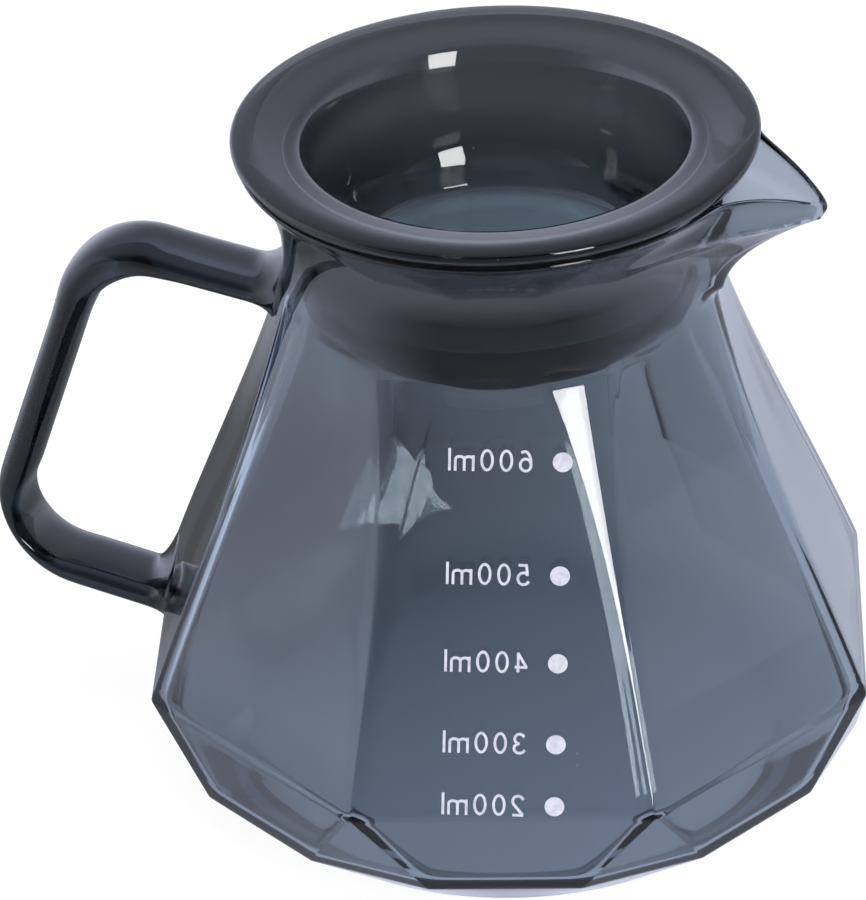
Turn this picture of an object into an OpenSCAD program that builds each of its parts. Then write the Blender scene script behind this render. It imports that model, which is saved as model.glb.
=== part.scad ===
// Faceted glass coffee server: a blown eight-sided jug with a pulled spout,
// a glass bar handle welded to it, a loose glass stopper lid and printed fill marks.
// Millimetres, +Z up, origin on the table under the jug's axis.
// The spout points along +X, the handle along -X.

/* [Body] */
// Distance from the axis to the corners of the widest edge
body_corner_r = 62.5; // [58:0.5:70]
// Number of flat sides
sides = 8; // [7:1:10]
// Turn of the nearest corner away from the spout, in degrees
facet_turn = -7.5; // [-22:0.5:22]
// Height of the widest edge
wide_z = 24.6; // [20:0.2:30]
// How far the corners of the lower edge stand inside those of the widest edge
low_inset = 5.4; // [4:0.1:8]
// Height of the lower edge
low_z = 10.5; // [8:0.1:14]
// How far the two lower corners stand from the wide corner, as a share of half a side
low_corner_share = 0.46; // [0.3:0.01:0.7]
// Radius of the flat foot
foot_r = 44.6; // [36:0.2:48]
// Rounding where the foot meets the underside
foot_edge_r = 1.6; // [0.8:0.1:3]
// Glass thickness of the sides
body_wall = 2.2; // [1.6:0.1:3]
// Glass thickness of the base
base_t = 3.2; // [2:0.1:5]

/* [Neck] */
// Height where the flat sides fade into the round neck
shoulder_z = 88.5; // [86:0.1:90]
// Width of each flat side at that height
shoulder_flat_w = 14.4; // [8:0.1:20]
// Radius of the waist, outside
waist_r = 34.1; // [33.5:0.1:36]
// Height of the waist above the shoulder
waist_rise = 8.3; // [7:0.1:10]
// How far the mouth's rim stands out beyond the waist
mouth_flare = 6.85; // [6:0.05:8]
// Height of the mouth's rim above the waist
rim_rise = 16.5; // [15:0.1:19]
// Glass thickness of the neck and spout
neck_wall = 2; // [1.4:0.1:2]

/* [Spout] */
// Distance from the axis to the tip of the spout
spout_reach = 52.9; // [48:0.1:58]
// Height above the shoulder where the spout starts to leave the neck
spout_root_rise = 2; // [1:0.1:2.6]
// How far below the rim the underside of the spout meets its tip
spout_chin_drop = 6.3; // [5:0.1:8]
// Half angle of the spout seen from above, in degrees
spout_half_angle = 38; // [30:1:46]
// Length of the spout's edge that droops, measured back from its tip
droop_l = 14.9; // [10:0.1:18]
// Radius of the drooping edge
droop_r = 22; // [20:0.5:40]

/* [Lid] */
// How far the lid's flange stands out beyond the mouth's rim
flange_overhang = 0.15; // [0:0.05:1]
// Glass thickness of the flange
flange_t = 2.2; // [1.6:0.1:3]
// How far the underside of the flange falls from its edge to the cup
dish_drop = 2; // [1:0.1:2.5]
// How far the top of the flange dips from its edge to the lip
top_dip = 0.2; // [0:0.05:1]
// Rounding of the lip where the flange turns down into the cup
lip_r = 4; // [2:0.1:5]
// Width of the flange, from its edge in to the outside of the cup
flange_w = 8.6; // [8:0.1:10]
// Depth of the lid below the mouth's rim
plug_depth = 27.2; // [18:0.1:30]
// Gap left around the foot of the lid's cup at the waist
plug_gap = 1.6; // [1.2:0.1:4]
// Rounding of the cup's foot
plug_edge_r = 4; // [2:0.1:6]
// Glass thickness of the cup
plug_wall = 2.4; // [1.8:0.1:3]
// Glass thickness of the cup's floor
cup_floor_t = 4.5; // [2:0.1:6]
// Radius of the raised disc in the cup's floor
floor_disc_r = 19.6; // [10:0.1:22]
// Gap left between the flange and the mouth's rim
seat_gap = 0.3; // [0.2:0.05:0.5]

/* [Handle] */
// Width of the glass bar
handle_w = 11.4; // [8:0.1:14]
// Thickness of the glass bar
handle_t = 4.7; // [4.6:0.1:7]
// Rounding of the bar's edges
handle_edge_r = 2.2; // [1:0.1:2.2]
// Radius of the two bends, to the middle of the bar
bend_r = 12.8; // [9:0.1:16]
// How far below the shoulder the upper arm meets the body
upper_arm_drop = 5.2; // [4:0.1:8]
// Distance from the waist out to the upper corner
upper_corner_reach = 34.4; // [30:0.1:40]
// How far the upper arm climbs to its corner
upper_corner_rise = 3.7; // [1:0.1:6]
// How far below the widest edge the lower arm meets the body
lower_arm_drop = 3; // [1:0.1:4]
// Distance from the widest edge out to the lower corner
lower_corner_reach = 27.6; // [24:0.1:34]
// How far the lower arm climbs to its corner
lower_corner_rise = 5.4; // [3:0.1:8]
// Length over which each end spreads into its weld
weld_l = 5; // [3:0.1:7]
// How far the welds spread beyond the bar on each side
weld_spread = 2; // [1:0.1:4]

/* [Marks] */
// Volumes printed on the side, in millilitres
mark_first = 200; // [200:100:300]
// Step between two marks, in millilitres
mark_step = 100; // [100:100:100]
// Thickness of the fired print
print_t = 0.15; // [0.1:0.05:0.3]
// Height of the figures
digit_h = 3.5; // [3:0.1:3.8]
// Width of a figure
digit_w = 2.1; // [1.8:0.1:2.3]
// Distance from one figure to the next
digit_pitch = 2.95; // [2.8:0.05:3.1]
// Width of the strokes
stroke_w = 0.42; // [0.3:0.02:0.5]
// Diameter of the round dots
dot_d = 3.05; // [2:0.05:3.4]
// Distance of the dots from the middle of the flat side
dot_x = 8; // [7:0.1:9]
// Distance from the middle of a dot to its figures
label_gap = 4.6; // [3:0.1:5]
// Lean of the printed column, in degrees
print_lean = 2.3; // [0:0.1:3]

/* [Hidden] */

// Thickness of the slices that a rounded form is stretched over
slice = 0.02;
// How far a cut runs past the surface it opens
overrun = 1;
// Facets of full circles, of circles inside stretched forms and of small arcs
round_fn = 96;
form_fn = 48;
arc_steps = 8;
corner_steps = 4;

glass = [0.36, 0.40, 0.48, 0.5];
dark_glass = [0.17, 0.18, 0.22, 0.8];
print_white = [0.88, 0.88, 0.94];

half_side = 180 / sides;
low_corner_r = body_corner_r - low_inset;
waist_z = shoulder_z + waist_rise;
mouth_r = waist_r + mouth_flare;
rim_z = waist_z + rim_rise;
// Radius of the hollow curve of the neck, upright at the waist, from the waist to the mouth
neck_curve_r = (mouth_flare * mouth_flare + rim_rise * rim_rise) / (2 * mouth_flare);
spout_root_z = shoulder_z + spout_root_rise;
spout_chin_z = rim_z - spout_chin_drop;
droop_start = spout_reach - droop_l;
body_flat_r = body_corner_r * cos(half_side);

// Radius of the round that the flat sides cut at the shoulder
shoulder_r = neck_out(shoulder_z) + (shoulder_flat_w / 2) * (shoulder_flat_w / 2) / (4 * waist_r);
shoulder_flat_r = sqrt(shoulder_r * shoulder_r - shoulder_flat_w * shoulder_flat_w / 4);
// Height where the last trace of the flat sides is gone
blend_z = shoulder_z + (waist_z - shoulder_z) / 3;

// Distance from the axis to the hollow curve of the neck, a wall thickness further in
function neck_out(z, wall = 0) =
    waist_r + neck_curve_r - sqrt(pow(neck_curve_r + wall, 2) - pow(z - waist_z, 2));

function ring_point(r, a) = [r * cos(a), r * sin(a)];
function arc(c, r, from, to) =
    [for (i = [0:arc_steps]) c + ring_point(r, from + (to - from) * i / arc_steps)];

// Angles of the corners, seen from above
function corner_angle(k) = facet_turn + 2 * half_side * k;

// The widest edge: one point at each corner
function wide_points(r) = [for (k = [0:sides - 1]) ring_point(r, corner_angle(k))];
// The lower edge: two points beside each corner
function low_points(r) =
    [for (k = [0:sides - 1]) for (side = [-1, 1])
        ring_point(r, corner_angle(k) + side * half_side * low_corner_share)];
// The shoulder: a circle with a flat on each side
function shoulder_points(r, flat_w) =
    let (spread = half_side - asin(flat_w / 2 / r))
    [for (k = [0:sides - 1]) for (i = [-1:2 / corner_steps:1])
        ring_point(r, corner_angle(k) + spread * i)];

// One level of a stretched form
module level(z, points) {
    translate([0, 0, z]) linear_extrude(slice) polygon(points);
}

module round_level(z, r) {
    translate([0, 0, z]) cylinder(r = r, h = slice, $fn = form_fn);
}

// Outer form of the faceted body, or its hollow when inset is the wall
module body_form(inset, floor_z) {
    hull() {
        round_level(floor_z, foot_r - inset);
        round_level(floor_z + foot_edge_r, foot_r + foot_edge_r - inset);
        level(low_z + inset / 2, low_points(low_corner_r - inset));
        level(wide_z, wide_points(body_corner_r - inset / cos(half_side)));
        level(shoulder_z, shoulder_points(shoulder_r - inset, shoulder_flat_w));
    }
    hull() {
        level(shoulder_z + slice, shoulder_points(shoulder_r - inset, shoulder_flat_w));
        round_level(blend_z, (neck_out(blend_z) - inset + slice) / cos(180 / form_fn));
    }
}

// Outer form of the round neck, or its hollow when wall is its thickness
module neck_form(wall, top_z) {
    rotate_extrude($fn = round_fn)
        difference() {
            translate([0, blend_z])
                square([neck_out(rim_z), top_z - blend_z]);
            translate([waist_r + neck_curve_r, waist_z])
                circle(r = neck_curve_r + wall, $fn = round_fn);
        }
}

// How far the spout stands out at a height, with its tip wall taken off for the hollow
spout_curve_power = 1.65;
tip_soft_angle = 1;
join_soft = 3;
spout_root_dip = 1.5;
function spout_rise(z) = min(1, max(0, (z - spout_root_z) / (spout_chin_z - spout_root_z)));
function spout_tip(z, wall) =
    let (root = neck_out(spout_root_z) - spout_root_dip)
    root + (spout_reach - root) * pow(spout_rise(z), spout_curve_power) - wall / sin(spout_half_angle);
function soft_angle(a) = sqrt(a * a + tip_soft_angle * tip_soft_angle) - tip_soft_angle;
function wedge_r(z, a, wall) =
    spout_tip(z, wall) * sin(spout_half_angle) / sin(spout_half_angle + soft_angle(a));
// Softened larger of two radii, sunk a little so that its ends lie inside the neck
function join_r(a, b) = (a + b + sqrt(pow(a - b, 2) + join_soft * join_soft)) / 2 - join_soft / 8;
function beak_r(z, a, wall) = join_r(neck_out(z, wall), wedge_r(z, a, wall));

// Pulled spout: a stack of outlines from inside the neck out to the wedge
beak_span = 52;
beak_steps = 22;
beak_levels = 9;
beak_core_share = 0.75;
module beak_form(wall, top_z) {
    bottom_z = spout_root_z;
    rows = beak_levels;
    outline_n = beak_steps + 2;
    core_r = waist_r * beak_core_share;
    function row_z(j) = bottom_z + (top_z - bottom_z) * j / rows;
    function row(j) = concat(
        [for (i = [0:beak_steps])
            let (t = 2 * i / beak_steps - 1, a = beak_span * t * abs(t))
            concat(ring_point(beak_r(min(row_z(j), rim_z), abs(a), wall), a), row_z(j))],
        [concat(ring_point(core_r, 0), row_z(j))]);
    points = [for (j = [0:rows]) each row(j)];
    side_faces = [for (j = [0:rows - 1]) for (i = [0:outline_n - 1])
        let (n = (i + 1) % outline_n, a = j * outline_n, b = a + outline_n)
        each [[a + n, a + i, b + i], [a + n, b + i, b + n]]];
    polyhedron(
        points = points,
        faces = concat(
            [[for (i = [0:outline_n - 1]) i]],
            side_faces,
            [[for (i = [outline_n - 1:-1:0]) rows * outline_n + i]]),
        convexity = 4);
}

// What the drooping edge of the spout leaves away
module droop_cut() {
    difference() {
        translate([droop_start, -spout_reach, rim_z - droop_r])
            cube([spout_reach, 2 * spout_reach, droop_r + 2 * overrun]);
        translate([droop_start, 0, rim_z - droop_r])
            rotate([90, 0, 0])
                cylinder(r = droop_r, h = 4 * spout_reach, center = true, $fn = round_fn);
    }
}

module jug_outside() {
    body_form(0, 0);
    neck_form(0, rim_z);
}

module jug() {
    color(glass)
        difference() {
            union() {
                jug_outside();
                beak_form(0, rim_z);
            }
            body_form(body_wall, base_t);
            neck_form(neck_wall, rim_z + overrun);
            beak_form(neck_wall, rim_z + overrun);
            droop_cut();
        }
}

// Rounded section of the handle bar: x across its thickness, y across its width
module bar_section(grow = 0) {
    half = [handle_t, handle_w] / 2 + [grow, grow];
    r = handle_edge_r * (1 + grow / handle_t);
    polygon([for (k = [0:3]) for (i = [0:corner_steps])
        let (a = 90 * (k + i / corner_steps), sx = k % 3 == 0 ? 1 : -1, sy = k < 2 ? 1 : -1)
        [sx * (half.x - r), sy * (half.y - r)] + ring_point(r, a)]);
}

// A straight run of the bar, starting at [x, z] and heading at an angle above the level.
// Runs are a slice thicker than the bends that they swallow the ends of.
module bar_run(start, heading, length) {
    translate([start.x, 0, start.y]) rotate([0, 90 - heading, 0])
        translate([0, 0, -bend_lap]) linear_extrude(length + 2 * bend_lap) bar_section(slice);
}

// A bend of the bar about a centre, between two headings
module bar_bend(centre, heading_in, heading_out) {
    translate([centre.x, 0, centre.y])
        rotate([90, 0, 0])
            rotate([0, 0, heading_out + 90])
                rotate_extrude(angle = heading_in - heading_out, $fn = round_fn)
                    translate([bend_r, 0]) bar_section();
}

// The spread end of the bar: from its own section to a wider root
module bar_weld(root, heading) {
    root_share = [0, 0.3, 1];
    reach_share = [1, 0.5, 0];
    for (i = [0:1])
        hull() for (j = [i, i + 1])
            translate([root.x, 0, root.y]) rotate([0, 90 - heading, 0])
                translate([0, 0, weld_l * reach_share[j] + (1 - i) * slice])
                    linear_extrude(slice)
                        bar_section(2 * slice + weld_spread * root_share[j]);
}

// Headings of the three runs, from the neck outwards, down and back to the body
function heading(from, to) = atan2(to.y - from.y, to.x - from.x);
function step(heading, length) = [length * cos(heading), length * sin(heading)];
function tangent_l(turn) = bend_r * tan(turn / 2);
// How deep the spread roots start inside the surface of the body
weld_sink = 1.2;
// How far the runs of the bar lap over its bends and into its welds
bend_lap = 0.3;

upper_arm_z = shoulder_z - upper_arm_drop;
lower_arm_z = wide_z - lower_arm_drop;
lower_weld_r = body_flat_r / cos(half_side + facet_turn);
upper_root = [neck_out(upper_arm_z) - 2 * weld_sink, upper_arm_z];
upper_corner = [waist_r + upper_corner_reach, upper_arm_z + upper_corner_rise];
lower_corner = [body_corner_r + lower_corner_reach, lower_arm_z + lower_corner_rise];
lower_root = [lower_weld_r - 2 * weld_sink, lower_arm_z];
heading_out = heading(upper_root, upper_corner);
heading_down = heading(upper_corner, lower_corner);
heading_back = -180 + heading(lower_root, lower_corner);
upper_turn = heading_out - heading_down;
lower_turn = heading_down - heading_back;
upper_bend_start = upper_corner - step(heading_out, tangent_l(upper_turn));
upper_bend_end = upper_corner + step(heading_down, tangent_l(upper_turn));
lower_bend_start = lower_corner - step(heading_down, tangent_l(lower_turn));
lower_bend_end = lower_corner + step(heading_back, tangent_l(lower_turn));

module handle() {
    color(dark_glass)
        difference() {
            rotate([0, 0, 180]) {
                bar_run(upper_root + step(heading_out, weld_l), heading_out,
                    norm(upper_bend_start - upper_root) - weld_l);
                bar_bend(upper_bend_start + step(heading_out - 90, bend_r), heading_out, heading_down);
                bar_run(upper_bend_end, heading_down, norm(lower_bend_start - upper_bend_end));
                bar_bend(lower_bend_start + step(heading_down - 90, bend_r), heading_down, heading_back);
                bar_run(lower_bend_end, heading_back, norm(lower_root - lower_bend_end) - weld_l);
                bar_weld(upper_root, heading_out);
                bar_weld(lower_root, heading_back + 180);
            }
            jug_outside();
        }
}

// Profile of the lid, from its foot up the outside, over the flange and down the cup
flange_r = mouth_r + flange_overhang;
flange_edge_r = flange_t / 2;
flange_lean = atan(dish_drop / flange_w);
// Where the rim of the mouth comes nearest to the underside of the flange
seat_r = neck_out(rim_z, neck_wall);
flange_mid_z = rim_z + seat_gap + flange_edge_r / cos(flange_lean)
    + (flange_r - flange_edge_r - seat_r) * tan(flange_lean);
// Outer radius of the cup, under the flange and at its foot
plug_top_r = flange_r - flange_w;
plug_low_r = waist_r - neck_wall - plug_gap;
plug_foot_z = rim_z - plug_depth;
under_flange_z = flange_mid_z - dish_drop - flange_edge_r;
cup_floor_z = plug_foot_z + cup_floor_t;
floor_disc_rise = plug_wall / 6;
module lid() {
    edge = [flange_r - flange_edge_r, flange_mid_z];
    lip = [plug_top_r - plug_wall + lip_r, flange_mid_z + flange_edge_r - top_dip - lip_r];
    top_lean = atan(top_dip / (edge.x - lip.x));
    inner_corner_r = plug_edge_r - plug_wall / 2;
    cup_low_r = plug_low_r - plug_wall;
    outline = concat(
        [[0, plug_foot_z]],
        arc([plug_low_r - plug_edge_r, plug_foot_z + plug_edge_r], plug_edge_r, -90, 0),
        [[plug_top_r, under_flange_z - flange_t]],
        [[plug_top_r + flange_t / 2, under_flange_z]],
        arc(edge, flange_edge_r, flange_lean - 90, top_lean + 90),
        arc(lip, lip_r, top_lean + 90, 180),
        arc([cup_low_r - inner_corner_r, cup_floor_z + inner_corner_r], inner_corner_r, 0, -90),
        [[floor_disc_r + floor_disc_rise, cup_floor_z]],
        [[floor_disc_r, cup_floor_z + floor_disc_rise]],
        [[0, cup_floor_z + floor_disc_rise]]);
    color(dark_glass) rotate_extrude($fn = round_fn) polygon(outline);
}

// Strokes of the printed figures: a band of even width along a line of points
function along(points, i) =
    let (a = points[max(0, i - 1)], b = points[min(len(points) - 1, i + 1)]) (b - a) / norm(b - a);
function beside(points, i, side) =
    points[i] + side * stroke_w / 2 * [-along(points, i).y, along(points, i).x];
module band(points) {
    last = len(points) - 1;
    polygon(concat(
        [for (i = [0:last]) beside(points, i, 1)],
        [for (i = [last:-1:0]) beside(points, i, -1)]));
}
function oval(c, r, from, to, steps = 2 * arc_steps) =
    [for (i = [0:steps])
        let (a = from + (to - from) * i / steps) c + [r.x * cos(a), r.y * sin(a)]];
module oval_ring(c, r) {
    difference() {
        polygon(oval(c, r + [stroke_w, stroke_w] / 2, 0, 360));
        polygon(oval(c, r - [stroke_w, stroke_w] / 2, 0, 360));
    }
}

// Figures stand on y = 0 and start at x = 0
pen_w = digit_w - stroke_w;
pen_h = digit_h - stroke_w;
pen_x = stroke_w / 2;
pen_y = stroke_w / 2;
function pen(share) = [pen_x + pen_w * share.x, pen_y + pen_h * share.y];
module figure(n) {
    if (n == 0) oval_ring(pen([0.5, 0.5]), [pen_w, pen_h] / 2);
    if (n == 2) {
        band(concat(oval(pen([0.5, 0.72]), [pen_w / 2, pen_h * 0.28], 165, -30, arc_steps),
            [pen([0.06, 0.02])]));
        band([pen([0, 0]), pen([1, 0])]);
    }
    if (n == 3) {
        band(oval(pen([0.48, 0.74]), [pen_w * 0.46, pen_h * 0.26], 155, -90, arc_steps));
        band(oval(pen([0.48, 0.25]), [pen_w * 0.52, pen_h * 0.25], 90, -160, arc_steps));
    }
    if (n == 4) {
        band([pen([0.78, 0]), pen([0.78, 1])]);
        band([pen([0.82, 1]), pen([0, 0.26])]);
        band([pen([-0.06, 0.26]), pen([1.08, 0.26])]);
    }
    if (n == 5) {
        band([pen([0.94, 1]), pen([0.14, 1])]);
        band([pen([0.22, 1.06]), pen([0.1, 0.46])]);
        band(oval(pen([0.46, 0.31]), [pen_w * 0.54, pen_h * 0.31], 135, -155, arc_steps));
    }
    if (n == 6) {
        band(oval(pen([0.5, 0.31]), [pen_w / 2, pen_h * 0.31], 80, 280, arc_steps));
        band(oval(pen([0.5, 0.31]), [pen_w / 2, pen_h * 0.31], -100, 100, arc_steps));
        band(oval(pen([0.6, 0.36]), [pen_w * 0.6, pen_h * 0.64], 60, 170, arc_steps));
    }
}

// The unit after the figures
arch_r = [digit_pitch, digit_h] / 4;
module unit_sign() {
    stem_h = digit_h * 0.7;
    arch_w = digit_pitch / 2 - stroke_w / 4;
    for (i = [0:2]) translate([pen_x + arch_w * i, 0]) {
        band([[0, 0], [0, i == 0 ? stem_h : stem_h - arch_w / 2]]);
        if (i < 2)
            band(oval([arch_w / 2, stem_h - arch_w / 2], [arch_w, arch_w - stroke_w] / 2, 180, 0, arc_steps));
    }
    translate([digit_pitch * 1.3, 0]) band([[0, 0], [0, digit_h]]);
}

// A dot and its label, read from the far side of the glass, so they are laid out mirrored
module mark_outline(volume) {
    circle(d = dot_d, $fn = form_fn / 2);
    mirror([1, 0])
        translate([label_gap, -digit_h / 2]) {
            for (i = [0:2])
                translate([digit_pitch * i, 0])
                    figure(floor(volume / pow(10, 2 - i)) % 10);
            translate([digit_pitch * 3, 0]) unit_sign();
        }
}

// Places of the marks up the flat side, as shares of its length
mark_place_shares = [0.040, 0.187, 0.378, 0.583, 0.847];
face_l = norm([body_flat_r - shoulder_flat_r, shoulder_z - wide_z]);
face_lean = atan((body_flat_r - shoulder_flat_r) / (shoulder_z - wide_z));
// The printed side is the second from the spout, towards -Y
print_side_angle = corner_angle(0) - 3 * half_side;
module mark(i) {
    color(print_white)
        rotate([0, 0, print_side_angle])
            translate([body_flat_r, 0, wide_z + slice])
                rotate([0, -face_lean, 0])
                    rotate([90, 0, 90])
                        rotate(-print_lean)
                            translate([dot_x, face_l * mark_place_shares[i]])
                                linear_extrude(print_t)
                                    mark_outline(mark_first + mark_step * i);
}

jug();
handle();
lid();
mark(0);  // mark_200
mark(1);  // mark_300
mark(2);  // mark_400
mark(3);  // mark_500
mark(4);  // mark_600
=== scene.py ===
import math

import bmesh
import bpy
from mathutils import Matrix, Vector, noise
from mathutils.bvhtree import BVHTree


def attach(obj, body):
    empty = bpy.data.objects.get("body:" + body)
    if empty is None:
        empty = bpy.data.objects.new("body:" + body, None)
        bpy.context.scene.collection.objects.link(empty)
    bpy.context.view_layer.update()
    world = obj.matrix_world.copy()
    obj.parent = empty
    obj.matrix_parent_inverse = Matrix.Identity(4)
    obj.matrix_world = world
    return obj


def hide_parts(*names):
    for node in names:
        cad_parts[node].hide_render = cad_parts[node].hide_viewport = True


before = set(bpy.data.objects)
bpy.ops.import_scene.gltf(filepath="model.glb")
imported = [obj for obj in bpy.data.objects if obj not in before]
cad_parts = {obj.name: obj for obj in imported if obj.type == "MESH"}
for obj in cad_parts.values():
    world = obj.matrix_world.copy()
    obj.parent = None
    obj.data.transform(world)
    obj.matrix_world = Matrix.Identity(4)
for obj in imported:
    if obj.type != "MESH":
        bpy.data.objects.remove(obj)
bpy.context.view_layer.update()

# camera
# The photograph was taken from the front right and above, with a long lens.
# The camera's place and its lens come from fitting the jug's own edges.
camera_place = (0.21370, -0.67963, 0.49842)
camera_turn = math.radians(18.398)
camera_dip = math.radians(31.775)
camera_roll = math.radians(-2.437)
camera_data = bpy.data.cameras.new("camera")
camera_data.lens = 208
camera_data.clip_start = 0.01
camera_data.clip_end = 60
camera = bpy.data.objects.new("camera", camera_data)
bpy.context.scene.collection.objects.link(camera)
camera.matrix_world = (Matrix.Translation(camera_place)
                       @ Matrix.Rotation(camera_turn, 4, "Z")
                       @ Matrix.Rotation(math.pi / 2 - camera_dip, 4, "X")
                       @ Matrix.Rotation(camera_roll, 4, "Z"))
bpy.context.scene.camera = camera

# jug
# The jug is blown in a mould: eight flat sides that fade into a round neck,
# with a spout pulled out of the hot rim and the rim melted round. It is one
# piece of smoky blue-grey glass, a little thicker in its base.
MM = 0.001
SIDES = 8
HALF_SIDE = math.pi / SIDES
FIRST_SIDE = math.radians(15)
FLAT_COLUMNS, CORNER_COLUMNS = 12, 18


def at(radius, angle):
    return Vector((radius * math.cos(angle), radius * math.sin(angle)))


def mix(a, b, share):
    return a + (b - a) * share


def capped(share):
    return min(1, max(0, share))


def all_round(side_points):
    """One outline of the jug from the outline of one of its sides, given turned to angle 0."""
    outline = []
    for k in range(SIDES):
        turn = Matrix.Rotation(FIRST_SIDE + 2 * HALF_SIDE * k, 2)
        outline += [turn @ p for p in side_points]
    return outline


def flat(apothem, half_width):
    last = FLAT_COLUMNS - 1
    return [Vector((apothem, half_width * (2 * j / last - 1))) for j in range(FLAT_COLUMNS)]


def corner_share(j):
    return (j + 1) / (CORNER_COLUMNS + 1)


def eight_sided(apothem, rounding):
    """A level of the widest edge: flat sides and small rounded corners."""
    inner = apothem - rounding
    centre = at(inner / math.cos(HALF_SIDE), HALF_SIDE)
    corner = [centre + at(rounding, 2 * HALF_SIDE * corner_share(j))
              for j in range(CORNER_COLUMNS)]
    return all_round(flat(apothem, inner * math.tan(HALF_SIDE)) + corner)


def sixteen_sided(radius, rounding):
    """A level of the lower edge, where each corner of the widest edge has split in two."""
    split = 0.46
    long_half = HALF_SIDE * (1 - split)
    long_apothem = radius * math.cos(long_half) - rounding
    short_apothem = radius * math.cos(HALF_SIDE * split) - rounding
    y = (short_apothem - long_apothem * math.cos(HALF_SIDE)) / math.sin(HALF_SIDE)
    first = Vector((long_apothem, y))
    over = Vector((math.cos(HALF_SIDE), math.sin(HALF_SIDE)))
    second = 2 * over * first.dot(over) - first
    corner = []
    third = CORNER_COLUMNS // 3
    for j in range(CORNER_COLUMNS):
        if j < third:
            corner.append(first + at(rounding, HALF_SIDE * (j + 1) / third))
        elif j < 2 * third:
            share = (j - third + 1) / (third + 1)
            corner.append(mix(first, second, share) + at(rounding, HALF_SIDE))
        else:
            corner.append(second + at(rounding, HALF_SIDE * (1 + (j - 2 * third) / third)))
    return all_round(flat(long_apothem + rounding, y) + corner)


def fading(radius, half_width):
    """A level near the shoulder: a circle with a narrow flat on each side."""
    edge = math.asin(half_width / radius)
    corner = [at(radius, edge + 2 * (HALF_SIDE - edge) * corner_share(j))
              for j in range(CORNER_COLUMNS)]
    return all_round(flat(radius * math.cos(edge), half_width) + corner)


def level(points, z):
    return [Vector((p.x, p.y, z)) for p in points]


SHOULDER_R, SHOULDER_FLAT = 35.5, 8.2
COLUMN_ANGLES = [math.atan2(p.y, p.x) for p in fading(SHOULDER_R, SHOULDER_FLAT)]


def round_level(radius, z):
    return level([at(radius, a) for a in COLUMN_ANGLES], z)


def crowded(angle, share):
    """Columns move towards the spout's middle as they climb, where the form is finest."""
    crowding = 1.7
    near = math.copysign(math.pi * (abs(angle) / math.pi) ** crowding, angle)
    return mix(angle, near, share)


# The round neck is a hollow curve. The spout leaves it as a beak that swings
# out as it climbs, joins it in a fillet, and fades out on the neck's sides.
WAIST_R, WAIST_Z, NECK_CURVE_R = 34.1, 96.8, 23.3
SHOULDER_Z, BLEND_Z, RIM_Z = 88.5, 91.27, 113.3
BEAK_Z, CHIN_Z, REACH, HALF_BEAK = 88.5, 107.0, 53.5, math.radians(38)
BEAK_SUNK, BEAK_SWING, BEAK_THINNED, BEAK_FILLET = 0.3, 2.1, 0.5, 3
BEAK_EDGE, FADED_AT, FADE_WIDTH = math.radians(1.6), math.radians(58), math.radians(22)
DROOP_FROM, DROOP_R = 38, 26


def neck_r(z, wall):
    return WAIST_R + NECK_CURVE_R - math.sqrt((NECK_CURVE_R + wall) ** 2 - (z - WAIST_Z) ** 2)


def spout_r(z, angle, wall):
    neck = neck_r(z, wall)
    rise = capped((z - BEAK_Z) / (CHIN_Z - BEAK_Z))
    root = neck_r(BEAK_Z, 0) - BEAK_SUNK
    thinned = wall * (1 - BEAK_THINNED * rise) / math.sin(HALF_BEAK)
    tip = mix(root, REACH, rise ** BEAK_SWING) - thinned
    beside = math.sqrt(angle * angle + BEAK_EDGE * BEAK_EDGE) - BEAK_EDGE
    wedge = tip * math.sin(HALF_BEAK) / math.sin(min(math.pi / 2, HALF_BEAK + beside))
    joined = (neck + wedge + math.hypot(neck - wedge, BEAK_FILLET)) / 2 - BEAK_FILLET / 8
    fade = capped((FADED_AT - abs(angle)) / FADE_WIDTH)
    return neck + max(0.0, joined - neck) * fade * fade * (3 - 2 * fade)


def rim_height(angle, wall):
    """The spout's edge droops along an arc towards its tip. How far it reaches depends on its
    height and the height on its reach, so both are found by going round a few times."""
    z = RIM_Z
    for step in range(12):
        out = spout_r(z, angle, wall) * math.cos(angle) - DROOP_FROM
        droop = DROOP_R - math.sqrt(DROOP_R * DROOP_R - out * out) if out > 0 else 0
        z = RIM_Z - droop
    return z


def neck_level(climb, wall):
    """One turn of the neck, at that share of the way from the shoulder to the rim."""
    crowding_rate = 2.5
    points = []
    for angle in COLUMN_ANGLES:
        a = crowded(angle, min(1, climb * crowding_rate))
        z = mix(BLEND_Z, rim_height(a, wall), climb)
        r = spout_r(z, a, wall)
        points.append(Vector((r * math.cos(a), r * math.sin(a), z)))
    return points


def softened(keys):
    """Levels through the keys. Each key is an outline and the length of the small curve that
    turns over it, which takes up less than half of the way to the keys beside it."""
    most = 0.45
    rows = []
    for i, (points, rounding) in enumerate(keys):
        if rounding == 0:
            rows.append(points)
            continue
        before, after = keys[i - 1][0], keys[i + 1][0]
        for t in (0, 0.25, 0.5, 0.75, 1):
            row = []
            for p, b, a in zip(points, before, after):
                into = p + (b - p) * min(most, rounding / max(1e-6, (b - p).length))
                out = p + (a - p) * min(most, rounding / max(1e-6, (a - p).length))
                row.append(mix(mix(into, p, t), mix(p, out, t), t))
            rows.append(row)
    return rows


def between(low, high, count, sag=0.0, sharp=None):
    """Levels between two others. They may sag inwards by as much as sag, two thirds of the way
    up, and take their corners from the sharp level until they are near the top."""
    levels = []
    for i in range(1, count + 1):
        t = i / (count + 1)
        row = []
        for a, b, c in zip(low, high, sharp or high):
            p = mix(a, mix(c, b, t * t), t)
            row.append(p - Vector((p.x, p.y, 0)).normalized() * sag * 6.75 * t * t * (1 - t))
        levels.append((row, 0))
    return levels


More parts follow.
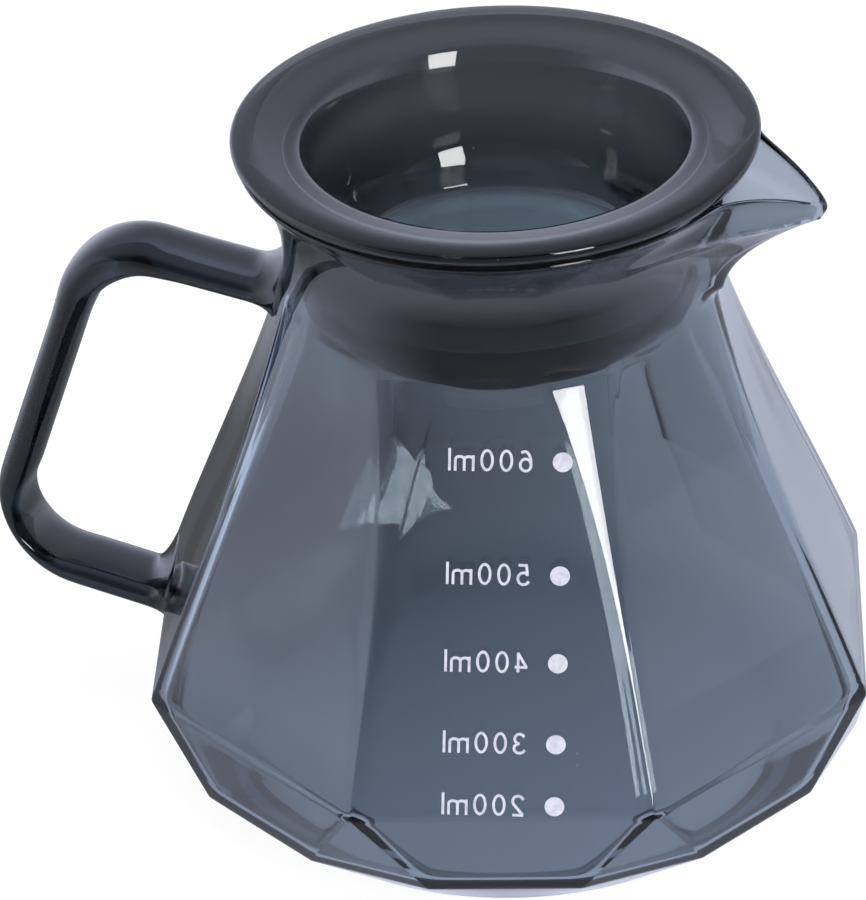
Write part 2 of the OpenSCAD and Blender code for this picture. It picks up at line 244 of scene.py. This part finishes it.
def wavy(keys, swing):
    """The inside is blown, not pressed, so its surface swells and sinks a little."""
    wave_length, wave_stretch, still_middle = 17, 0.6, 20
    moved = []
    for points, rounding in keys:
        row = []
        for p in points:
            swell = swing * noise.noise(Vector((p.x, p.y, p.z * wave_stretch)) / wave_length)
            away = Vector((p.x, p.y, 0))
            row.append(p + away.normalized() * swell if away.length > still_middle else p)
        moved.append((row, rounding))
    return moved


FOOT_MIDDLE_R, FOOT_R, HEEL_R, HEEL_Z = 30, 44.6, 46.4, 1.6
LOWER_R, LOWER_Z, LOWER_EDGE = 57.45, 10.5, 0.6
WIDEST_APOTHEM, WIDEST_Z, WIDEST_EDGE = 57.55, 24.6, 0.9
SIDE_LEVELS, SIDE_SAG = 20, 1.1
NECK_TURNS, RIM_ROUNDING = 26, 1.15
BODY_WALL, NECK_WALL, FLOOR_Z, INSIDE_SWING = 2.2, 2.0, 3.2, 0.22


def jug_skin(wall, neck_wall, floor_z):
    """Keys of the jug's outside, or of its inside, whose corners the walls make softer."""
    foot_middle = round_level(FOOT_MIDDLE_R, floor_z)
    foot = round_level(FOOT_R - wall, floor_z)
    heel = round_level(HEEL_R - wall, floor_z + HEEL_Z)
    lower = level(sixteen_sided(LOWER_R - wall, LOWER_EDGE + 5 * wall), LOWER_Z + wall * 0.4)
    widest = level(eight_sided(WIDEST_APOTHEM - wall * 0.8, WIDEST_EDGE + 3 * wall), WIDEST_Z)
    shoulder = level(fading(SHOULDER_R - wall, SHOULDER_FLAT), SHOULDER_Z)
    innermost = min(p.xy.length for p in shoulder)
    sharp = level(eight_sided(innermost, WIDEST_EDGE + 2.5 * wall), SHOULDER_Z)
    blend = round_level(neck_r(BLEND_Z, neck_wall), BLEND_Z)
    keys = [(foot_middle, 0), (foot, 1.2), (heel, 1.2)]
    keys += between(heel, lower, 3) + [(lower, LOWER_EDGE + wall / 2)]
    keys += between(lower, widest, 4) + [(widest, 0.7 + wall)]
    keys += between(widest, shoulder, SIDE_LEVELS, SIDE_SAG, sharp) + [(shoulder, 2.4), (blend, 0)]
    keys += [(neck_level(i / NECK_TURNS, neck_wall), 0) for i in range(1, NECK_TURNS - 2)]
    return keys + [(neck_level(1, neck_wall), RIM_ROUNDING)]


def lofted(rows):
    """A skin drawn up from level to level: each extrusion of the last edge is moved to the next
    outline, and the two ends are closed."""
    mesh = bmesh.new()
    column = mesh.verts.layers.int.new("column")
    bmesh.ops.create_circle(mesh, cap_ends=False, segments=len(rows[0]), radius=1)
    for i, v in enumerate(mesh.verts):
        v[column] = i
        v.co = rows[0][i] * MM
    edge = list(mesh.edges)
    for row in rows[1:]:
        grown = bmesh.ops.extrude_edge_only(mesh, edges=edge)["geom"]
        corners = {g for g in grown if isinstance(g, bmesh.types.BMVert)}
        for v in corners:
            v.co = row[v[column]] * MM
        edge = [g for g in grown if isinstance(g, bmesh.types.BMEdge)
                and g.verts[0] in corners and g.verts[1] in corners]
    bmesh.ops.holes_fill(mesh, edges=[e for e in mesh.edges if e.is_boundary], sides=0)
    return mesh


def as_piece(name, mesh):
    """The finished mesh as a smooth piece where it stands, faces outwards."""
    bmesh.ops.remove_doubles(mesh, verts=mesh.verts, dist=1e-6)
    bmesh.ops.recalc_face_normals(mesh, faces=mesh.faces)
    for f in mesh.faces:
        f.smooth = True
    data = bpy.data.meshes.new(name)
    mesh.to_mesh(data)
    mesh.free()
    piece = bpy.data.objects.new(name, data)
    bpy.context.scene.collection.objects.link(piece)
    return piece


outside = jug_skin(0, 0, 0)
inside = wavy(jug_skin(BODY_WALL, NECK_WALL, FLOOR_Z), INSIDE_SWING)
jug = as_piece("jug_glass", lofted(softened(outside + inside[::-1])))


def math_step(nodes, operation, second=None):
    """A Math node, with a fixed number in its second socket if one is given."""
    step = nodes.new("ShaderNodeMath")
    step.operation = operation
    if second is not None:
        step.inputs[1].default_value = second
    return step


def ramp(nodes, low=0, high=1, at_low=0, at_high=1):
    """A Map Range node: at_low where its value is low, at_high where it is high."""
    step = nodes.new("ShaderNodeMapRange")
    step.inputs["From Min"].default_value, step.inputs["From Max"].default_value = low, high
    step.inputs["To Min"].default_value, step.inputs["To Max"].default_value = at_low, at_high
    return step


def mould_ripple():
    """Glass from a mould is never quite even: long soft ripples with finer ones on top of them,
    and a few specks of dust that catch the light."""
    group = bpy.data.node_groups.new("mould ripple", "ShaderNodeTree")
    for label, value in (("Ripple Size", 30.0), ("Fine Share", 0.08), ("Speck Roughness", 0.3)):
        socket = group.interface.new_socket(label, in_out="INPUT", socket_type="NodeSocketFloat")
        socket.default_value = value
    for label in ("Height", "Roughness"):
        group.interface.new_socket(label, in_out="OUTPUT", socket_type="NodeSocketFloat")
    nodes, links = group.nodes, group.links
    given, out = nodes.new("NodeGroupInput"), nodes.new("NodeGroupOutput")
    place = nodes.new("ShaderNodeTexCoord")

    broad, fine = nodes.new("ShaderNodeTexNoise"), nodes.new("ShaderNodeTexNoise")
    for pattern, detail in ((broad, 1.5), (fine, 1.0)):
        links.new(place.outputs["Object"], pattern.inputs["Vector"])
        pattern.inputs["Detail"].default_value = detail
    finer, summed = math_step(nodes, "MULTIPLY", 4.5), math_step(nodes, "MULTIPLY_ADD")
    links.new(given.outputs["Ripple Size"], broad.inputs["Scale"])
    links.new(given.outputs["Ripple Size"], finer.inputs[0])
    links.new(finer.outputs[0], fine.inputs["Scale"])
    links.new(fine.outputs["Fac"], summed.inputs[0])
    links.new(given.outputs["Fine Share"], summed.inputs[1])
    links.new(broad.outputs["Fac"], summed.inputs[2])
    links.new(summed.outputs[0], out.inputs["Height"])

    specks = nodes.new("ShaderNodeTexVoronoi")
    specks.inputs["Scale"].default_value = 330
    in_speck = ramp(nodes, low=0.035, high=0.055, at_low=1, at_high=0)
    few_cells = math_step(nodes, "LESS_THAN", 0.12)
    kept, rough = math_step(nodes, "MULTIPLY"), math_step(nodes, "MULTIPLY")
    links.new(place.outputs["Object"], specks.inputs["Vector"])
    links.new(specks.outputs["Distance"], in_speck.inputs["Value"])
    links.new(specks.outputs["Color"], few_cells.inputs[0])
    links.new(in_speck.outputs["Result"], kept.inputs[0])
    links.new(few_cells.outputs[0], kept.inputs[1])
    links.new(kept.outputs[0], rough.inputs[0])
    links.new(given.outputs["Speck Roughness"], rough.inputs[1])
    links.new(rough.outputs[0], out.inputs["Roughness"])
    return group


RIPPLE = mould_ripple()
RIPPLE_HEIGHT = 0.00001


def smoky_glass(name, tint, absorbed, density, ripple_size):
    """Smoky glass has its colour at its surfaces and in its depth, so thick edges go dark."""
    material = bpy.data.materials.new(name)
    material.use_nodes = True
    nodes, links = material.node_tree.nodes, material.node_tree.links
    shader, out = nodes["Principled BSDF"], nodes["Material Output"]
    shader.inputs["Base Color"].default_value = (*tint, 1)
    shader.inputs["IOR"].default_value = 1.47
    shader.inputs["Transmission Weight"].default_value = 1
    depth = nodes.new("ShaderNodeVolumeAbsorption")
    depth.inputs["Color"].default_value = (*absorbed, 1)
    depth.inputs["Density"].default_value = density
    links.new(depth.outputs["Volume"], out.inputs["Volume"])
    ripple = nodes.new("ShaderNodeGroup")
    ripple.node_tree = RIPPLE
    ripple.inputs["Ripple Size"].default_value = ripple_size
    bump = nodes.new("ShaderNodeBump")
    bump.inputs["Strength"].default_value = 1
    bump.inputs["Distance"].default_value = RIPPLE_HEIGHT
    links.new(ripple.outputs["Height"], bump.inputs["Height"])
    links.new(bump.outputs["Normal"], shader.inputs["Normal"])
    links.new(ripple.outputs["Roughness"], shader.inputs["Roughness"])
    return material


jug.data.materials.append(smoky_glass(
    "blown smoky glass", tint=(0.595, 0.63, 0.64), absorbed=(0.13, 0.23, 0.36), density=150,
    ripple_size=28))
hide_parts("jug")
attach(jug, "jug_body")

# handle
# A flattened glass bar, bent hot and melted onto the jug at both ends, where
# it spreads into a small collar. Same glass as the jug, dark in its depth.
BAR_HALF = Vector((2.74, 6.12))
BAR_COLUMNS, BAR_SQUARENESS = 48, 0.84
NECK_END, UPPER_CORNER = Vector((38.4, 82.96)), Vector((67.85, 87.8))
LOWER_CORNER, EDGE_END = Vector((90.05, 27.16)), Vector((59.8, 21.09))
BEND_STEPS, STEPS_BESIDE = 16, 6
COLLAR_L, COLLAR_SPREAD, SUNK = 4.6, 2.8, 0.6
COLLAR_LEAN, COLLAR_CURVE, CURVE_LEAN = 0.92, 3.6, 1.2
COLLAR_SHARES = (1.12, 1, 0.93, 0.85, 0.74, 0.6, 0.45, 0.3, 0.15, 0)


def bar_section():
    """An oval with flattened faces: x across the bar's thickness, y across its width."""
    points = []
    for i in range(BAR_COLUMNS):
        a = 2 * math.pi * i / BAR_COLUMNS
        c, s = math.cos(a), math.sin(a)
        points.append(Vector((BAR_HALF.x * math.copysign(abs(c) ** BAR_SQUARENESS, c),
                              BAR_HALF.y * math.copysign(abs(s) ** BAR_SQUARENESS, s))))
    return points


def bent_bar(before, corner, after, radius, spread, inside, outside):
    """The bar's middle line round one bend: points, headings, and how much thicker the bar is
    there inside and outside, where the glass gathered in the bend or thinned."""
    arriving, leaving = (corner - before).normalized(), (after - corner).normalized()
    turn = arriving.angle(leaving)
    start = corner - arriving * radius * math.tan(turn / 2)
    centre = start + Vector((arriving.y, -arriving.x)) * radius
    first = math.atan2(start.y - centre.y, start.x - centre.x)
    line = []
    for i in range(-STEPS_BESIDE, BEND_STEPS + STEPS_BESIDE + 1):
        u = i / BEND_STEPS
        bent = capped(u)
        a = first - turn * bent
        heading = a - math.pi / 2
        beyond = at((u - bent) * radius * turn, heading)
        gathered = math.cos(math.pi * min(0.5, abs(u - 0.5) / spread)) ** 2
        line.append((centre + at(radius, a) + beyond, heading,
                     inside * gathered, outside * gathered))
    return line


def bar_ring(centre, heading, section, inside=0.0, outside=0.0, spread=0.0, share=0.0):
    """One turn of the bar. A collar's share goes from 0 on the bar to 1 on the jug, and it
    spreads much further, and from further out, on its upper side than on its lower side."""
    along = Vector((math.cos(heading), math.sin(heading)))
    across = Vector((-along.y, along.x))
    ring = []
    for p in section:
        away = Vector((p.x / BAR_HALF.x, p.y / BAR_HALF.y)).normalized()
        lean = 1 + COLLAR_LEAN * away.x
        q = p + away * spread * lean * share ** (COLLAR_CURVE - CURVE_LEAN * away.x)
        flat_point = centre + across * q.x * (1 + (inside if q.x < 0 else outside))
        ring.append(Vector((-flat_point.x, q.y, flat_point.y)))
    return ring


jug_surface = BVHTree.FromObject(jug, bpy.context.evaluated_depsgraph_get())


def collar(root, heading, section):
    """Rings from inside the jug's wall out to the bar: each point runs along the bar onto the
    glass, and the first ring goes on into it."""
    start = root + at(COLLAR_L, heading)
    inward = Vector((math.cos(heading), 0, -math.sin(heading)))
    rings = []
    for share in COLLAR_SHARES:
        moved = []
        for p in bar_ring(start, heading, section, spread=COLLAR_SPREAD, share=min(1, share)):
            hit = jug_surface.ray_cast(p * MM, inward)
            reach = hit[3] / MM if hit[0] else COLLAR_L
            moved.append(p + inward * (reach * min(1, share) + (SUNK if share > 1 else 0)))
        rings.append(moved)
    return rings


bar = bar_section()
upper = collar(NECK_END, math.atan2(*(UPPER_CORNER - NECK_END).yx), bar)
lower = collar(EDGE_END, math.atan2(*(LOWER_CORNER - EDGE_END).yx), bar)
lower = [[ring[(BAR_COLUMNS // 2 - j) % BAR_COLUMNS] for j in range(BAR_COLUMNS)]
         for ring in lower]
bends = bent_bar(NECK_END, UPPER_CORNER, LOWER_CORNER,
                 radius=13.0, spread=1.8, inside=0.56, outside=0.24)
bends += bent_bar(UPPER_CORNER, LOWER_CORNER, EDGE_END,
                  radius=12.65, spread=1.25, inside=-0.44, outside=-0.42)
middle = [bar_ring(centre, heading, bar, *thicker) for centre, heading, *thicker in bends]
handle = as_piece("handle_glass", lofted(upper + middle + lower[::-1]))
handle.data.materials.append(smoky_glass(
    "drawn smoky glass", tint=(0.57, 0.605, 0.615), absorbed=(0.12, 0.17, 0.22), density=330,
    ripple_size=45))
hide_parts("handle")
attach(handle, "jug_body")

# lid
# The lid is one pressed piece of the same glass: a dished flange that lies on
# the rim, and a hollow cup with a ringed floor that hangs in the neck.


def curve(centre, radii, first, last, steps):
    """Points of an oval arc between two angles in degrees, as parts of a profile."""
    angles = [math.radians(mix(first, last, i / steps)) for i in range(steps + 1)]
    return [((centre[0] + radii[0] * math.cos(a), centre[1] + radii[1] * math.sin(a)), 0)
            for a in angles]


# Its outline from under the cup's floor, up its outside and round the flange,
# then down the roll and the cup's wall to the floor, each with its rounding.
LID_PROFILE = [((0.0, 86.1), 0), ((26.0, 86.1), 0), ((30.5, 86.1), 3.0),
               ((32.2, 107.0), 2.0), ((32.8, 111.9), 1.6), ((41.0, 113.9), 0.9),
               ((41.42, 115.95), 0.9), ((38.3, 116.2), 1.6), ((31.6, 114.85), 1.0)]
LID_PROFILE += curve(centre=(40.6, 108.4), radii=(11.7, 11.7), first=150, last=180, steps=10)
LID_PROFILE += curve(centre=(6.9, 106.5), radii=(22.0, 22.0), first=0, last=-31, steps=12)
LID_PROFILE += [((24.6, 91.2), 1.4), ((17.6, 91.2), 0.2), ((17.3, 91.6), 0.2),
                ((10.0, 91.6), 0), ((0.0, 91.6), 0)]
lid_mesh = bmesh.new()
outline = softened([([Vector((r, 0, z))], rounding) for (r, z), rounding in LID_PROFILE])
wire = [lid_mesh.verts.new((row[0].x * MM, 0, row[0].z * MM)) for row in outline]
for a, b in zip(wire, wire[1:]):
    lid_mesh.edges.new((a, b))
bmesh.ops.spin(lid_mesh, geom=lid_mesh.verts[:] + lid_mesh.edges[:], cent=(0, 0, 0),
               axis=(0, 0, 1), angle=2 * math.pi, steps=160, use_merge=True)
lid = as_piece("lid_glass", lid_mesh)

# The cup's floor is tinted nearly clear, and its wall and the flange dark, by distance from the
# lid's axis.
WALL_TINT, FLOOR_TINT = (0.19, 0.17, 0.16), (0.8, 0.83, 0.82)
CLEAR_TO, DARK_FROM = 0.0243, 0.0256
lid_glass = smoky_glass("pressed smoky glass", tint=WALL_TINT, absorbed=(0.3, 0.45, 0.5),
                        density=160, ripple_size=34)
nodes, links = lid_glass.node_tree.nodes, lid_glass.node_tree.links
place, part = nodes.new("ShaderNodeTexCoord"), nodes.new("ShaderNodeSeparateXYZ")
beside, radius = nodes.new("ShaderNodeCombineXYZ"), nodes.new("ShaderNodeVectorMath")
radius.operation = "LENGTH"
clear = nodes.new("ShaderNodeValToRGB")
floor_stop, wall_stop = clear.color_ramp.elements
floor_stop.position, wall_stop.position = CLEAR_TO, DARK_FROM
floor_stop.color, wall_stop.color = (*FLOOR_TINT, 1), (*WALL_TINT, 1)
links.new(place.outputs["Object"], part.inputs[0])
links.new(part.outputs["X"], beside.inputs["X"])
links.new(part.outputs["Y"], beside.inputs["Y"])
links.new(beside.outputs[0], radius.inputs[0])
links.new(radius.outputs["Value"], clear.inputs["Fac"])
links.new(clear.outputs["Color"], nodes["Principled BSDF"].inputs["Base Color"])
lid.data.materials.append(lid_glass)
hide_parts("lid")
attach(lid, "lid_body")

# printed marks
# Five volumes and their dots, printed in white enamel and fired onto the flat
# side. Fired enamel is a little cloudy, in its colour as in its gloss.
enamel = bpy.data.materials.new("fired white enamel")
enamel.use_nodes = True
nodes, links = enamel.node_tree.nodes, enamel.node_tree.links
shader = nodes["Principled BSDF"]
place, cloud = nodes.new("ShaderNodeTexCoord"), nodes.new("ShaderNodeTexNoise")
cloud.inputs["Scale"].default_value = 900
cloud.inputs["Detail"].default_value = 3
tone = nodes.new("ShaderNodeValToRGB")
thin_stop, thick_stop = tone.color_ramp.elements
thin_stop.position, thick_stop.position = 0.35, 0.62
thin_stop.color, thick_stop.color = (0.50, 0.51, 0.62, 1), (0.63, 0.64, 0.74, 1)
grain = nodes.new("ShaderNodeBump")
grain.inputs["Distance"].default_value = 0.00003
grain.inputs["Strength"].default_value = 0.6
gloss = ramp(nodes, at_low=0.38, at_high=0.6)
links.new(place.outputs["Object"], cloud.inputs["Vector"])
links.new(cloud.outputs["Fac"], tone.inputs["Fac"])
links.new(cloud.outputs["Fac"], grain.inputs["Height"])
links.new(cloud.outputs["Fac"], gloss.inputs["Value"])
links.new(tone.outputs["Color"], shader.inputs["Base Color"])
links.new(gloss.outputs["Result"], shader.inputs["Roughness"])
links.new(grain.outputs["Normal"], shader.inputs["Normal"])
for volume in (200, 300, 400, 500, 600):
    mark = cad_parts[f"mark_{volume}"]
    mark.data.materials.clear()
    mark.data.materials.append(enamel)

# studio
# A white table in a plain studio, with a tall soft box at the camera's right
# and a wide one overhead. The glass mirrors table and surround darker in
# front and behind the jug at the left, and paler far to the left.
TABLE_HALF, TABLE_GAP = 2, 0.0002
FRONT, SHADOW_SPOT = (0.30, -0.95, 0), (-0.09, 0.07, 0)


def cool_mirrored(nodes, links, ray):
    """White, and a little cool where the glass mirrors it."""
    tint = nodes.new("ShaderNodeMix")
    tint.data_type = "RGBA"
    tint.inputs["A"].default_value = (1, 1, 1, 1)
    tint.inputs["B"].default_value = (0.86, 0.92, 1.14, 1)
    links.new(ray.outputs["Is Glossy Ray"], tint.inputs["Factor"])
    return tint.outputs["Result"]


floor_mesh = bmesh.new()
bmesh.ops.create_grid(floor_mesh, x_segments=1, y_segments=1, size=TABLE_HALF)
bmesh.ops.translate(floor_mesh, verts=floor_mesh.verts, vec=(0, 0, -TABLE_GAP))
floor = as_piece("table_top", floor_mesh)
table = bpy.data.materials.new("white table")
table.use_nodes = True
nodes, links = table.node_tree.nodes, table.node_tree.links
nodes.remove(nodes["Principled BSDF"])
ray, spot = nodes.new("ShaderNodeLightPath"), nodes.new("ShaderNodeTexCoord")

# Mirrored, the table is dark near a spot behind the jug, where its shadow
# lies.
away = nodes.new("ShaderNodeVectorMath")
away.operation = "DISTANCE"
away.inputs[1].default_value = SHADOW_SPOT
shade = ramp(nodes, low=0.03, high=0.15, at_low=0.04, at_high=0.76)
links.new(spot.outputs["Object"], away.inputs[0])
links.new(away.outputs["Value"], shade.inputs["Value"])

# It is dark in a cone to the front as well, but not right beside the foot.
heading, ahead, spread = (nodes.new("ShaderNodeVectorMath") for _ in range(3))
heading.operation, ahead.operation, spread.operation = "NORMALIZE", "DOT_PRODUCT", "LENGTH"
ahead.inputs[1].default_value = FRONT
cone = ramp(nodes, low=0.35, high=0.85, at_high=0.75)
far = ramp(nodes, low=0.09, high=0.14)
dark, kept = math_step(nodes, "MULTIPLY"), math_step(nodes, "SUBTRACT")
kept.inputs[0].default_value = 1
links.new(spot.outputs["Object"], heading.inputs[0])
links.new(heading.outputs["Vector"], ahead.inputs[0])
links.new(ahead.outputs["Value"], cone.inputs["Value"])
links.new(spot.outputs["Object"], spread.inputs[0])
links.new(spread.outputs["Value"], far.inputs["Value"])
links.new(cone.outputs["Result"], dark.inputs[0])
links.new(far.outputs["Result"], dark.inputs[1])
links.new(dark.outputs[0], kept.inputs[1])

# Far to the left it is paler.
apart = nodes.new("ShaderNodeSeparateXYZ")
leftward = ramp(nodes, low=-0.5, high=-0.14, at_low=1.9)
dimmed, turned = math_step(nodes, "MULTIPLY"), math_step(nodes, "MULTIPLY")
links.new(spot.outputs["Object"], apart.inputs[0])
links.new(apart.outputs["X"], leftward.inputs["Value"])
links.new(shade.outputs["Result"], dimmed.inputs[0])
links.new(kept.outputs[0], dimmed.inputs[1])
links.new(dimmed.outputs[0], turned.inputs[0])
links.new(leftward.outputs["Result"], turned.inputs[1])

# Seen directly, through the glass or mirrored, it glows over a dull base that
# keeps the shadows. Other rays find a plain matte white.
shine = ramp(nodes, at_low=0.93)
matte, plain = nodes.new("ShaderNodeBsdfDiffuse"), nodes.new("ShaderNodeBsdfDiffuse")
matte.inputs["Color"].default_value = (0.16, 0.16, 0.16, 1)
plain.inputs["Color"].default_value = (0.8, 0.8, 0.8, 1)
glow, both = nodes.new("ShaderNodeEmission"), nodes.new("ShaderNodeAddShader")
choose = nodes.new("ShaderNodeMixShader")
seen, either = math_step(nodes, "MAXIMUM"), math_step(nodes, "MAXIMUM")
links.new(ray.outputs["Is Glossy Ray"], shine.inputs["Value"])
links.new(turned.outputs[0], shine.inputs["To Max"])
links.new(shine.outputs["Result"], glow.inputs["Strength"])
links.new(cool_mirrored(nodes, links, ray), glow.inputs["Color"])
links.new(ray.outputs["Is Camera Ray"], seen.inputs[0])
links.new(ray.outputs["Is Transmission Ray"], seen.inputs[1])
links.new(seen.outputs[0], either.inputs[0])
links.new(ray.outputs["Is Glossy Ray"], either.inputs[1])
links.new(either.outputs[0], choose.inputs["Fac"])
links.new(plain.outputs[0], choose.inputs[1])
links.new(matte.outputs[0], both.inputs[0])
links.new(glow.outputs[0], both.inputs[1])
links.new(both.outputs[0], choose.inputs[2])
links.new(choose.outputs[0], nodes["Material Output"].inputs["Surface"])
floor.data.materials.append(table)

world = bpy.data.worlds.new("studio")
bpy.context.scene.world = world
world.use_nodes = True
nodes, links = world.node_tree.nodes, world.node_tree.links
surround = nodes["Background"]
ray, towards = nodes.new("ShaderNodeLightPath"), nodes.new("ShaderNodeTexCoord")

# Mirrored, the surround is dark to the front, paler to the left, and fades
# towards the ceiling.
forward = nodes.new("ShaderNodeVectorMath")
forward.operation = "DOT_PRODUCT"
forward.inputs[1].default_value = FRONT
mirrored = ramp(nodes, low=0.75, high=0.15, at_low=0.15, at_high=1.15)
mirrored.interpolation_type = "SMOOTHSTEP"
apart = nodes.new("ShaderNodeSeparateXYZ")
leftward = ramp(nodes, low=-0.9, high=-0.3, at_low=1.6)
higher = ramp(nodes, low=0.1, high=0.55, at_low=1, at_high=0.6)
paler, faded = math_step(nodes, "MULTIPLY"), math_step(nodes, "MULTIPLY")
links.new(towards.outputs["Generated"], forward.inputs[0])
links.new(forward.outputs["Value"], mirrored.inputs["Value"])
links.new(towards.outputs["Generated"], apart.inputs[0])
links.new(apart.outputs["X"], leftward.inputs["Value"])
links.new(apart.outputs["Z"], higher.inputs["Value"])
links.new(mirrored.outputs["Result"], paler.inputs[0])
links.new(leftward.outputs["Result"], paler.inputs[1])
links.new(paler.outputs[0], faded.inputs[0])
links.new(higher.outputs["Result"], faded.inputs[1])

# Seen directly or through the glass it is white, and as a light it is dim.
lit, shown = ramp(nodes, at_low=0.4), ramp(nodes)
seen = math_step(nodes, "MAXIMUM")
links.new(ray.outputs["Is Glossy Ray"], lit.inputs["Value"])
links.new(faded.outputs[0], lit.inputs["To Max"])
links.new(ray.outputs["Is Camera Ray"], seen.inputs[0])
links.new(ray.outputs["Is Transmission Ray"], seen.inputs[1])
links.new(seen.outputs[0], shown.inputs["Value"])
links.new(lit.outputs["Result"], shown.inputs["To Min"])
links.new(shown.outputs["Result"], surround.inputs["Strength"])
links.new(cool_mirrored(nodes, links, ray), surround.inputs["Color"])


def soft_box(name, turn, height, distance, size, power):
    """A plain soft box that faces the jug's middle; turn is from the front (-Y) towards +X."""
    light = bpy.data.lights.new(name, "AREA")
    light.shape = "RECTANGLE"
    light.size, light.size_y = size
    light.energy = power
    lamp = bpy.data.objects.new(name, light)
    bpy.context.scene.collection.objects.link(lamp)
    a, e = math.radians(turn), math.radians(height)
    away = Vector((math.sin(a) * math.cos(e), -math.cos(a) * math.cos(e), math.sin(e)))
    jug_middle = Vector((0, 0, 0.06))
    lamp.matrix_world = (Matrix.Translation(away * distance + jug_middle)
                         @ away.to_track_quat("Z", "Y").to_matrix().to_4x4())
    return lamp


soft_box("tall soft box", turn=47.5, height=17, distance=1.3, size=(0.36, 0.62), power=13)
overhead = soft_box("overhead soft box", turn=0, height=88, distance=1.1, size=(0.9, 0.9), power=4)
overhead.visible_glossy = overhead.visible_transmission = False

# Light needs many bounces to get through both walls of the jug and the lid.
scene = bpy.context.scene
scene.view_settings.view_transform = "Standard"
scene.cycles.max_bounces = 24
scene.cycles.transmission_bounces = 24
